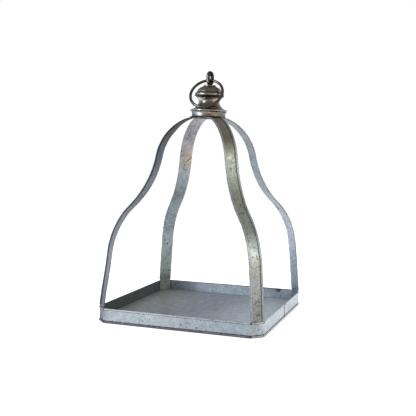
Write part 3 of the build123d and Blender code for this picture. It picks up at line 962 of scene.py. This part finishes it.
def make_knob_lower(material):
    """Cup that opens upward to the rim's seam."""
    seam_foot = (RIM_RADIUS - 0.8, 37.4)
    outside = marked([(BOLT_RADIUS + 0.1, NECK_TOP + 0.03), (NECK_RADIUS - 0.2, NECK_TOP + 0.03)], 0.9)
    outside += marked([(NECK_RADIUS, NECK_TOP + 0.25)], 0.3)
    cup = arc((NECK_RADIUS + 0.02, NECK_TOP + 1.0), (21.4, 32.6), seam_foot, 16)
    # the cup's upper part and the seam, under the rim, are marked for painted shade
    outside += marked(cup[:8]) + marked(cup[8:10], 0.3) + marked(cup[10:12], 0.7) + marked(cup[12:], 0.95)
    outside += marked([(RIM_RADIUS - 0.3, RIM_SEAM - 0.9), (RIM_RADIUS - 0.35, RIM_SEAM - 0.15)], 0.8, 0.1)
    outside += marked([(RIM_RADIUS - 0.8, RIM_SEAM)], 1.0)
    inside = [(BOLT_RADIUS + 0.1, NECK_TOP + SHEET), (NECK_RADIUS - 0.6, NECK_TOP + SHEET), (20.7, 33.3),
              (RIM_RADIUS - 1.4, RIM_SEAM - 0.1)]
    lathe("spun_knob_lower", shell(outside, inside), "knob_lower", material)


def make_knob_upper(material):
    """Rim bead, a step, and the dome with two turned lines near its top."""
    outside = marked([(RIM_RADIUS - 0.9, RIM_SEAM + 0.03), (RIM_RADIUS - 0.3, RIM_SEAM + 0.15)], 1.0)
    rim = arc((RIM_RADIUS - 0.15, RIM_SEAM + 0.5), (RIM_RADIUS, 41.0), (RIM_RADIUS - 1.8, 43.9), 12)
    outside += marked(rim[:2], 0.3, 0.3) + marked(rim[2:-2], 0.0, 0.9) + marked(rim[-2:], 0.1, 0.3)
    step = arc((RIM_RADIUS - 2.3, 44.15), (24.1, 44.5), DOME_FOOT, 4)
    outside += marked(step, 0.6)
    dome_end = (DOME_TOP[0] + 0.4, DOME_TOP[1] - 0.9)
    dome = arc((DOME_FOOT[0] - 0.1, DOME_FOOT[1] + 0.5), (19.8, 51.6), dome_end, 26)
    for k, (r, h) in enumerate(dome):
        groove = 0.16 if k in (14, 20) else 0.0
        outside.append((r - groove, h - groove, 0.7 if groove else 0.0, 0.0))
    top_edge = [(DOME_TOP[0] - 0.1, DOME_TOP[1] - 0.35), (DOME_TOP[0] - 0.7, DOME_TOP[1])]
    outside += marked(top_edge, 0.2, 0.6)
    outside += marked([(BOLT_RADIUS + 0.1, DOME_TOP[1])], 0.8)
    inside = [(RIM_RADIUS - 1.4, RIM_SEAM + 0.1), (RIM_RADIUS - 2.7, 43.0),
              (DOME_FOOT[0] - SHEET, DOME_FOOT[1]), (19.1, 50.9), (DOME_TOP[0] - 1.0, DOME_TOP[1] - SHEET),
              (BOLT_RADIUS + 0.1, DOME_TOP[1] - SHEET)]
    lathe("spun_knob_upper", shell(outside, inside), "knob_upper", material)


def make_boss(material):
    """Washer-like disc under the eye with rounded edges."""
    base = DOME_TOP[1] + 0.03
    outside = marked([(BOLT_RADIUS + 0.1, base), (BOSS_RADIUS - 0.6, base)], 1.0)
    outside += marked(turn_about((BOSS_RADIUS - 0.5, base + 0.5), 0.5, -80, 0, 3), 0.5, 0.1)
    outside += marked([(BOSS_RADIUS, base + 1.1)], 0.2, 0.2)
    outside += marked(turn_about((BOSS_RADIUS - 0.8, BOSS_TOP - 0.8), 0.8, 10, 90, 5), 0.15, 0.3)
    outside += marked([(8.0, BOSS_TOP)], 0.3) + marked([(BOSS_SINK[0], BOSS_TOP)], 0.8)
    outside += marked([(BOLT_RADIUS + 0.1, BOSS_TOP - BOSS_SINK[1])], 1.0)
    lathe("spun_top_boss", list(reversed(outside)), "top_boss", material, wobble=0.05)


def make_crown_plate(material):
    """Disc cut out with snips: its rim wanders."""
    thick = CROWN_TOP - CROWN_UNDERSIDE
    # the rim and the ring just outside the collar are marked crease, for grime and painted shade under the
    # collar
    outline = [(4.0, CROWN_UNDERSIDE, 0.4, 0), (18.0, CROWN_UNDERSIDE, 0.2, 0)]
    outline += [(CROWN_RADIUS - 2.5, CROWN_UNDERSIDE, 0.5, 0), (CROWN_RADIUS - 0.5, CROWN_UNDERSIDE, 0.8, 0)]
    outline += [(CROWN_RADIUS, CROWN_UNDERSIDE + 0.3, 1, 0), (CROWN_RADIUS - 0.05, CROWN_TOP - 0.35, 1, 0.1)]
    outline += [(CROWN_RADIUS - 0.45, CROWN_TOP, 0.9, 0.1), (COLLAR_RADIUS + 0.6, CROWN_TOP, 1.0, 0)]
    outline += [(COLLAR_RADIUS - 2, CROWN_TOP, 0.6, 0), (18.0, CROWN_TOP, 0.2, 0), (4.0, CROWN_TOP, 0.4, 0)]
    outline += [(4.0, CROWN_TOP - thick / 2, 0.6, 0)]
    lathe("cut_crown_plate", outline, "crown_plate", material, wobble=0.28, segments=200,
          place=Matrix.Identity(4))


def tube(centres, sides, ups, radii, start=0, closed=True, around=20):
    """Points and faces of a wire that follows a line, with a radius at each place."""
    points = []
    for centre, side, up, radius in zip(centres, sides, ups, radii):
        for k in range(around):
            angle = 2 * pi * k / around
            points.append(centre + (side * cos(angle) + up * sin(angle)) * radius)
    faces = grid_faces(len(centres), around, start, loop_rows=closed)
    if not closed:
        last = start + len(points)
        faces += [tuple(reversed(range(start, start + around))), tuple(range(last - around, last))]
    return points, faces


def wire_marks(count, around, length):
    """How far round the wire and how far along it each point is, for its drawn lines and its painted
    highlight stripe.
    """
    half = around // 2
    return {"around": [abs(k % around - half) / half * pi for k in range(count * around)],
            "turned": [k // around * length / count for k in range(count * around)]}


def make_ring(material):
    """Loose ring of round wire with the butt of its weld a little thicker."""
    side = FINIAL.to_3x3() @ Vector((1, 0, 0))
    hinge_height = EYE_FOOT + EYE_WIRE + RING_PLAY + RING_WIRE / 2
    hinge = FINIAL @ Vector((RING_OFFSET, 0, hinge_height))
    hang = Matrix.Rotation(-radians(RING_REST), 3, side) @ -FINIAL_AXIS
    centre = hinge + hang * RING_RADIUS
    normal = side.cross(hang)
    count, around = 220, 24
    weld = radians(262)
    centres, sides, radii = [], [], []
    for i in range(count):
        angle = 2 * pi * i / count
        out = side * cos(angle) + hang * sin(angle)
        centres.append(centre + out * RING_RADIUS)
        sides.append(out)
        butt = 0.10 * ease(1 - abs(angle - weld) / 0.05) - 0.16 * ease(1 - abs(angle - weld) / 0.012)
        radii.append(RING_WIRE / 2 - 0.04 + 0.035 * rough(angle * 9, 1.5) + butt)
    points, faces = tube(centres, sides, [normal] * count, radii, around=around)
    marks = wire_marks(count, around, 2 * pi * RING_RADIUS)
    angles = [2 * pi * (k // around) / count for k in range(len(points))]
    marks["crease"] = [ease(1 - abs(angle - weld) / 0.02) for angle in angles]
    make_piece("wire_carrying_ring", points, faces, marks, "ring", ["carrying_ring"], material,
               sharp=50)


def fused(name, points, faces, voxel):
    """Points and faces, in millimetres, of one smooth skin over solids that pass into each other."""
    mesh = bpy.data.meshes.new(name)
    mesh.from_pydata([p * MM for p in points], [], faces)
    lump = add_to_scene(name, mesh)
    remesh = lump.modifiers.new("skin", "REMESH")
    remesh.mode = "VOXEL"
    remesh.voxel_size = voxel * MM
    smooth = lump.modifiers.new("smooth", "SMOOTH")
    smooth.iterations = 4
    done = bpy.data.meshes.new_from_object(lump.evaluated_get(bpy.context.evaluated_depsgraph_get()))
    skin = [v.co / MM for v in done.vertices]
    skin_faces = [tuple(p.vertices) for p in done.polygons]
    bpy.data.objects.remove(lump)
    return skin, skin_faces


def make_eye(material):
    """Wire eye closed onto its shank with a blob of weld, as one forged-looking piece."""
    turn = Matrix.Rotation(-radians(EYE_TURN), 3, FINIAL_AXIS)
    wide = turn @ Vector((0, 1, 0))
    normal = wide.cross(FINIAL_AXIS)
    centre = FINIAL @ Vector((0, 0, EYE_FOOT + EYE_HEIGHT / 2))
    bend = (EYE_WIDTH - EYE_WIRE) / 2
    straight = (EYE_HEIGHT - EYE_WIDTH) / 2
    count = 120
    centres, sides = [], []
    for i in range(count):
        angle = 2 * pi * i / count
        out = wide * cos(angle) + FINIAL_AXIS * sin(angle)
        centres.append(centre + out * bend + FINIAL_AXIS * (straight if sin(angle) > 0 else -straight))
        sides.append(out)
    radii = [EYE_WIRE / 2 + 0.05 * rough(i / 9, 2.0) for i in range(count)]
    points, faces = tube(centres, sides, [normal] * count, radii)
    foot = -(CROWN_TOP - CROWN_UNDERSIDE) - NUT_THICKNESS + 0.3
    heights = [foot, foot + 0.4, 0.0, 20.0, 40.0, BOSS_TOP - BOSS_SINK[1], BOSS_TOP - 0.4, BOSS_TOP + 1.0]
    widths = [BOLT_RADIUS - 0.4] + [BOLT_RADIUS] * 5 + [4.2, 3.2]
    line = [FINIAL @ Vector((0, 0, h)) for h in heights]
    steps = len(line)
    more, more_faces = tube(line, [wide] * steps, [-normal] * steps, widths, start=len(points), closed=False)
    skin, skin_faces = fused("eye_lump", points + more, faces + more_faces, voxel=0.32)
    local = [FINIAL.inverted() @ p for p in skin]
    around = []
    for p in skin:
        spine, out = min(zip(centres, sides), key=lambda pair: (pair[0] - p).length_squared)
        around.append(pi / 2 + abs(atan2((p - spine).dot(normal), (p - spine).dot(out))))
    # crease darkens the eye's foot on the boss with painted shade
    marks = {"around": around, "turned": [p.z for p in local],
             "crease": [ease(1 - (p.z - BOSS_TOP) / 5.5) for p in local]}
    make_piece("forged_eye_bolt", skin, skin_faces, marks, "frame", ["eye_bolt"], material,
               sharp=60)


def make_nut(material):
    """Thin hexagon nut, its corners chamfered top and bottom."""
    top = -(CROWN_TOP - CROWN_UNDERSIDE) - 0.03
    foot = top - NUT_THICKNESS
    hole, flats = BOLT_RADIUS + 0.1, NUT_FLATS / 2
    rings = [(hole, foot + 0.4, False), (hole + 0.4, foot, False), (flats - 0.2, foot, False),
             (flats, foot + 0.5, True), (flats, top - 0.5, True), (flats - 0.2, top, False),
             (hole + 0.4, top, False), (hole, top - 0.4, False)]
    count = 72
    points, marks = [], {"around": [], "turned": [], "crease": []}
    for i in range(count):
        angle = 2 * pi * i / count
        to_flat = (angle + pi / 6) % (pi / 3) - pi / 6
        for radius, height, hexagon in rings:
            reach = radius / cos(to_flat) if hexagon else radius
            points.append(FINIAL @ Vector((reach * cos(angle), reach * sin(angle), height)))
            marks["around"].append(height)
            marks["turned"].append(angle)
            marks["crease"].append(0.0 if hexagon else 0.4)
    faces = [tuple(reversed(f)) for f in grid_faces(count, len(rings), loop_rows=True)]
    make_piece("chamfered_eye_nut", points, faces, marks, "frame", ["eye_nut"], material,
               sharp=25)


def make_solder(node, material):
    """Lumpy bead of solder that fills the corner between a strap and the rim of the crown plate."""
    bearing = STRAPS[node][0]
    outward, across = strap_frame(bearing)
    count = 40
    centres, radii = [], []
    for i in range(count):
        share = i / (count - 1)
        u = (share - 0.5) * (STRAP_WIDTH - 2.0)
        reach = sqrt((CROWN_RADIUS - 1.5) ** 2 - u * u) + 0.4 * rough(u / 3, bearing)
        height = CROWN_UNDERSIDE - 0.5 + 0.3 * rough(u / 4, 5, bearing)
        centres.append(outward * reach + across * u + Vector((0, 0, height)))
        radii.append((1.25 + 0.5 * rough(u / 2.3, 8, bearing)) * sqrt(max(0.05, 1 - (2 * share - 1) ** 8)))
    up = Vector((0, 0, 1))
    points, faces = tube(centres, [outward] * count, [up] * count, radii, closed=False, around=14)
    make_piece(f"solder_{node}", points, faces, {}, "frame", [], material, sharp=70)


# ---- studio ----


def softbox(name, location, target, size, power, colour):
    """Rectangular soft light that shows in the metal but not to the camera."""
    light = bpy.data.lights.new(name, "AREA")
    light.shape = "RECTANGLE"
    light.size, light.size_y = size
    light.energy = power
    light.color = colour
    lamp = add_to_scene(name, light)
    lamp.location = location
    lamp.rotation_mode = "QUATERNION"
    lamp.rotation_quaternion = (Vector(target) - Vector(location)).to_track_quat("-Z", "Y")
    lamp.visible_camera = False


def make_camera():
    """In front and a little to the right, just above the object's middle; distances in metres."""
    azimuth, elevation, roll, distance = radians(19.41), radians(4.55), radians(0.885), 1.3148
    target = Vector((0.0031, 0.0011, 0.19823))
    back = Vector((sin(azimuth) * cos(elevation), -cos(azimuth) * cos(elevation), sin(elevation)))
    level = Vector((cos(azimuth), sin(azimuth), 0))
    upright = back.cross(level)
    right = level * cos(roll) + upright * sin(roll)
    up = upright * cos(roll) - level * sin(roll)
    data = bpy.data.cameras.new("camera")
    data.lens = 60.4
    data.sensor_width = 36.0
    data.clip_start, data.clip_end = 0.05, 100.0
    camera = add_to_scene("camera", data)
    turn = Matrix((right, up, back)).transposed().to_4x4()
    camera.matrix_world = Matrix.Translation(target + back * distance) @ turn
    bpy.context.scene.camera = camera


def make_floor():
    """Round pale floor, lit a little from within so that it is as white as the wall behind."""
    s = Surface("pale_floor")
    colour = s.ramp(s.clouds(400.0, 2.0), [(0.3, (0.90, 0.90, 0.905)), (0.7, (0.93, 0.93, 0.93))])
    to_camera = s.add("ShaderNodeLightPath").outputs["Is Camera Ray"]
    s.feed(s.shader.inputs["Emission Strength"], s.times(to_camera, 0.22))
    s.shader.inputs["Emission Color"].default_value = (1.0, 1.0, 1.0, 1.0)
    material = s.finish(colour, 0.9, s.relief((s.clouds(3.0, 2.0), 0.02)), metallic=0.0)
    count, reach, drop = 96, 1.7, 0.0002
    rim = [(x, y, -drop) for x, y in turn_about((0, 0), reach, 0, 360, count)[:-1]]
    mesh = bpy.data.meshes.new("floor")
    mesh.from_pydata(rim, [], [tuple(range(count))])
    mesh.materials.append(material)
    add_to_scene("floor", mesh)


def make_world():
    """Soft studio as the metal sees it: white behind, blue shade on the left, and a brown room in front."""
    world = bpy.data.worlds.new("studio")
    bpy.context.scene.world = world
    world.use_nodes = True
    s = Nodes(world.node_tree, "Generated")
    sky = s.tree.nodes["Background"]
    colour = s.mix(s.toward((-0.94, 0.34, 0.0), 0.2, 0.9), (1.0, 1.0, 1.0), (0.58, 0.70, 0.82))
    colour = s.mix(s.toward((0.33, -0.94, 0.0), 0.55, 0.95), colour, (0.34, 0.27, 0.215))
    colour = s.mix(s.toward((0.94, -0.34, 0.1), 0.60, 0.96), colour, (0.62, 0.59, 0.47))
    colour = s.mix(s.span(s.axis("Z"), 0.18, 0.72), colour, (0.235, 0.22, 0.175))
    to_camera = s.add("ShaderNodeLightPath").outputs["Is Camera Ray"]
    s.feed(sky.inputs["Color"], s.mix(to_camera, colour, (1.0, 1.0, 1.0)))
    sky.inputs["Strength"].default_value = 1.0


def light_studio():
    """Soft boxes to show in the metal, and an even light from above for the floor."""
    daylight, lamplight = (0.97, 0.99, 1.0), (1.0, 0.97, 0.88)
    softbox("window", (-1.28, -1.40, 0.95), (0.0, 0.0, 0.95), (1.0, 1.9), 3.0, daylight)
    softbox("pane", (-1.22, -1.33, 0.72), (0.0, 0.0, 0.60), (0.26, 1.40), 17.0, daylight)
    softbox("lamp", (1.16, -0.44, 0.66), (0.0, 0.0, 0.2), (0.30, 0.18), 1.6, lamplight)
    light = bpy.data.lights.new("overhead", "SUN")
    light.energy = 3.0
    light.color = (0.975, 0.985, 1.0)
    light.angle = radians(110)
    add_to_scene("overhead", light).visible_glossy = False


# ---- the whole ----


# Tints are (place, colour), from 0 to 1 along a gradient. Local marks are (centre, reach or radius), and
# each painted highlight and painted reflection of the finial is (centre, reach, colour).
# Round the tray the walls' tints hold painted shade and light: dark on the left, where the walls are in
# shade, and pale on the right and behind.
WALL_TINTS_AND_PAINTED_SHADE = [(0.0, (0.105, 0.13, 0.12)), (0.13, (0.08, 0.105, 0.145)), (0.14, (0.345, 0.38, 0.42)),
              (0.18, (0.345, 0.39, 0.43)), (0.30, (0.31, 0.355, 0.405)), (0.36, (0.28, 0.335, 0.385)),
              (0.37, (0.33, 0.37, 0.40)), (0.392, (0.53, 0.58, 0.66)), (0.60, (0.54, 0.59, 0.67)),
              (0.64, (0.41, 0.48, 0.55)), (0.75, (0.54, 0.66, 0.78)), (0.80, (0.44, 0.53, 0.62)),
              (0.85, (0.19, 0.225, 0.28)), (1.0, (0.105, 0.13, 0.12))]
# The floor's tints run from left to right and hold painted shade: darker on the left, where the walls shade
# it.
FLOOR_TINTS_AND_PAINTED_SHADE = [(0.0, (0.175, 0.18, 0.18)), (0.45, (0.165, 0.175, 0.218)), (0.9, (0.31, 0.35, 0.40))]
# Along each strap, from the crown to the foot, the tints mix the zinc's patina with painted reflections and
# highlights, such as the pale band at the front right strap's knee.
STRAP_TINTS_AND_PAINTED_REFLECTIONS = {
    "strap_front_left": [
        (0.0, (0.11, 0.11, 0.10)), (0.2, (0.10, 0.112, 0.125)), (0.4, (0.21, 0.245, 0.275)),
        (0.55, (0.24, 0.27, 0.30)), (0.75, (0.21, 0.235, 0.285)), (1.0, (0.085, 0.09, 0.11))],
    "strap_front_right": [
        (0.0, (0.22, 0.22, 0.18)), (0.12, (0.195, 0.185, 0.145)), (0.19, (0.385, 0.40, 0.35)),
        (0.29, (0.42, 0.455, 0.41)), (0.42, (0.31, 0.33, 0.29)), (0.55, (0.31, 0.33, 0.295)),
        (0.63, (0.42, 0.465, 0.46)), (0.71, (0.55, 0.57, 0.57)), (0.84, (0.39, 0.40, 0.395)),
        (0.96, (0.26, 0.265, 0.265))],
    "strap_back_right": [
        (0.0, (0.26, 0.28, 0.325)), (0.25, (0.27, 0.325, 0.37)), (0.67, (0.43, 0.51, 0.59)),
        (0.85, (0.32, 0.38, 0.45)), (1.0, (0.26, 0.31, 0.38))],
    "strap_back_left": [
        (0.0, (0.34, 0.35, 0.39)), (0.10, (0.44, 0.45, 0.48)), (0.22, (0.33, 0.325, 0.32)),
        (0.37, (0.43, 0.49, 0.51)), (0.49, (0.32, 0.39, 0.43)), (0.61, (0.49, 0.60, 0.66)),
        (0.92, (0.49, 0.57, 0.59)), (1.0, (0.30, 0.32, 0.32))],
}
CLEAN = ((154.0, 0.0, 14.0), 190.0)
COPPER = ((-54.0, 82.0, 291.0), 33.0)
SCRATCHED = ((-69.0, 69.0, 288.0), 62.0)
WELD_MARKS = [((142.5, -140.3, 56.5), 3.5), ((143.6, -140.9, 35.0), 3.0)]
# dark spots at the left front clip, the seam, the front right corner and the back wall
DARK_SPOTS_ON_WALLS = [((-150.5, -137.5, 26.6), 6.5), ((-146.0, -142.0, 26.6), 6.5), ((-141.0, -147.0, 26.6), 5.0),
          ((-151.0, -136.0, 2.0), 6.0), ((152.5, 9.0, 26.0), 5.0), ((152.5, 8.0, 3.0), 6.0),
          ((135.0, -152.5, 26.5), 3.2), ((152.5, -134.5, 2.5), 3.6), ((106.0, 152.5, 24.0), 9.0)]
CROWN_TINTS = [(0.0, (0.16, 0.155, 0.14)), (1.0, (0.13, 0.12, 0.105))]
PEWTER = [(0.28, (0.19, 0.18, 0.16)), (0.46, (0.27, 0.26, 0.235)), (0.58, (0.325, 0.30, 0.26)),
          (0.72, (0.38, 0.38, 0.36))]
DULL_PEWTER = [(place, tuple(0.8 * c for c in colour)) for place, colour in PEWTER]
# Cool pale patches where the window's highlight falls on the left of the finial, and warm painted
# reflections of the room on its right front.
FINIAL_PAINTED_HIGHLIGHTS_AND_REFLECTIONS = [
    ((-11.0, -19.0, 408.0), 19.0, (0.50, 0.51, 0.56)),
    ((-13.0, -30.0, 374.0), 16.0, (0.40, 0.41, 0.45)),
    ((19.0, -28.0, 377.5), 10.0, (0.40, 0.26, 0.18)),
    ((21.0, -12.0, 399.0), 10.0, (0.40, 0.29, 0.21))]


def make_object():
    """Every piece, each with its material."""
    make_tray_wall(zinc("zinc_wall", WALL_TINTS_AND_PAINTED_SHADE, gradient=None, pits=0.9, smudge=0.3, clean=CLEAN,
                        dark_spots=DARK_SPOTS_ON_WALLS))
    make_tray_floor(zinc("zinc_floor", FLOOR_TINTS_AND_PAINTED_SHADE, pits=0.3, smudge=0.25, grain=(0.12, 1, 1), gloss=0.44,
                         metallic=0.45, speckle=0.4, bead=True))
    # the front right strap's folded edges carry a painted blue reflection
    local_marks = {"strap_front_right": {"hem": 0.45, "welds": WELD_MARKS},
                   "strap_back_left": {"blush": COPPER, "scratched": SCRATCHED}}
    for node in STRAPS:
        make_strap(node, zinc(f"zinc_{node}", STRAP_TINTS_AND_PAINTED_REFLECTIONS[node], pits=1.2, smudge=0.75, rust=0.8, gloss=0.41,
                              crease_break=0.30, edge_colour=TARNISHED, **local_marks.get(node, {})))
    make_collar(spun("spun_band", DULL_PEWTER, FINIAL_PAINTED_HIGHLIGHTS_AND_REFLECTIONS, gloss=0.38))
    pewter = spun("spun_pewter", PEWTER, FINIAL_PAINTED_HIGHLIGHTS_AND_REFLECTIONS, gloss=0.28)
    make_finial_base(pewter)
    make_knob_lower(pewter)
    make_knob_upper(pewter)
    make_boss(pewter)
    make_crown_plate(zinc("zinc_crown", CROWN_TINTS, gradient="turned", smudge=1.0, rust=1.0))
    wire = dark_wire("bronzed_wire")
    make_eye(wire)
    make_nut(wire)
    make_ring(wire)
    flux = solder("black_solder")
    for node in STRAPS:
        make_solder(node, flux)


make_camera()
make_floor()
make_world()
light_studio()
make_object()
bpy.context.scene.view_settings.view_transform = "Standard"
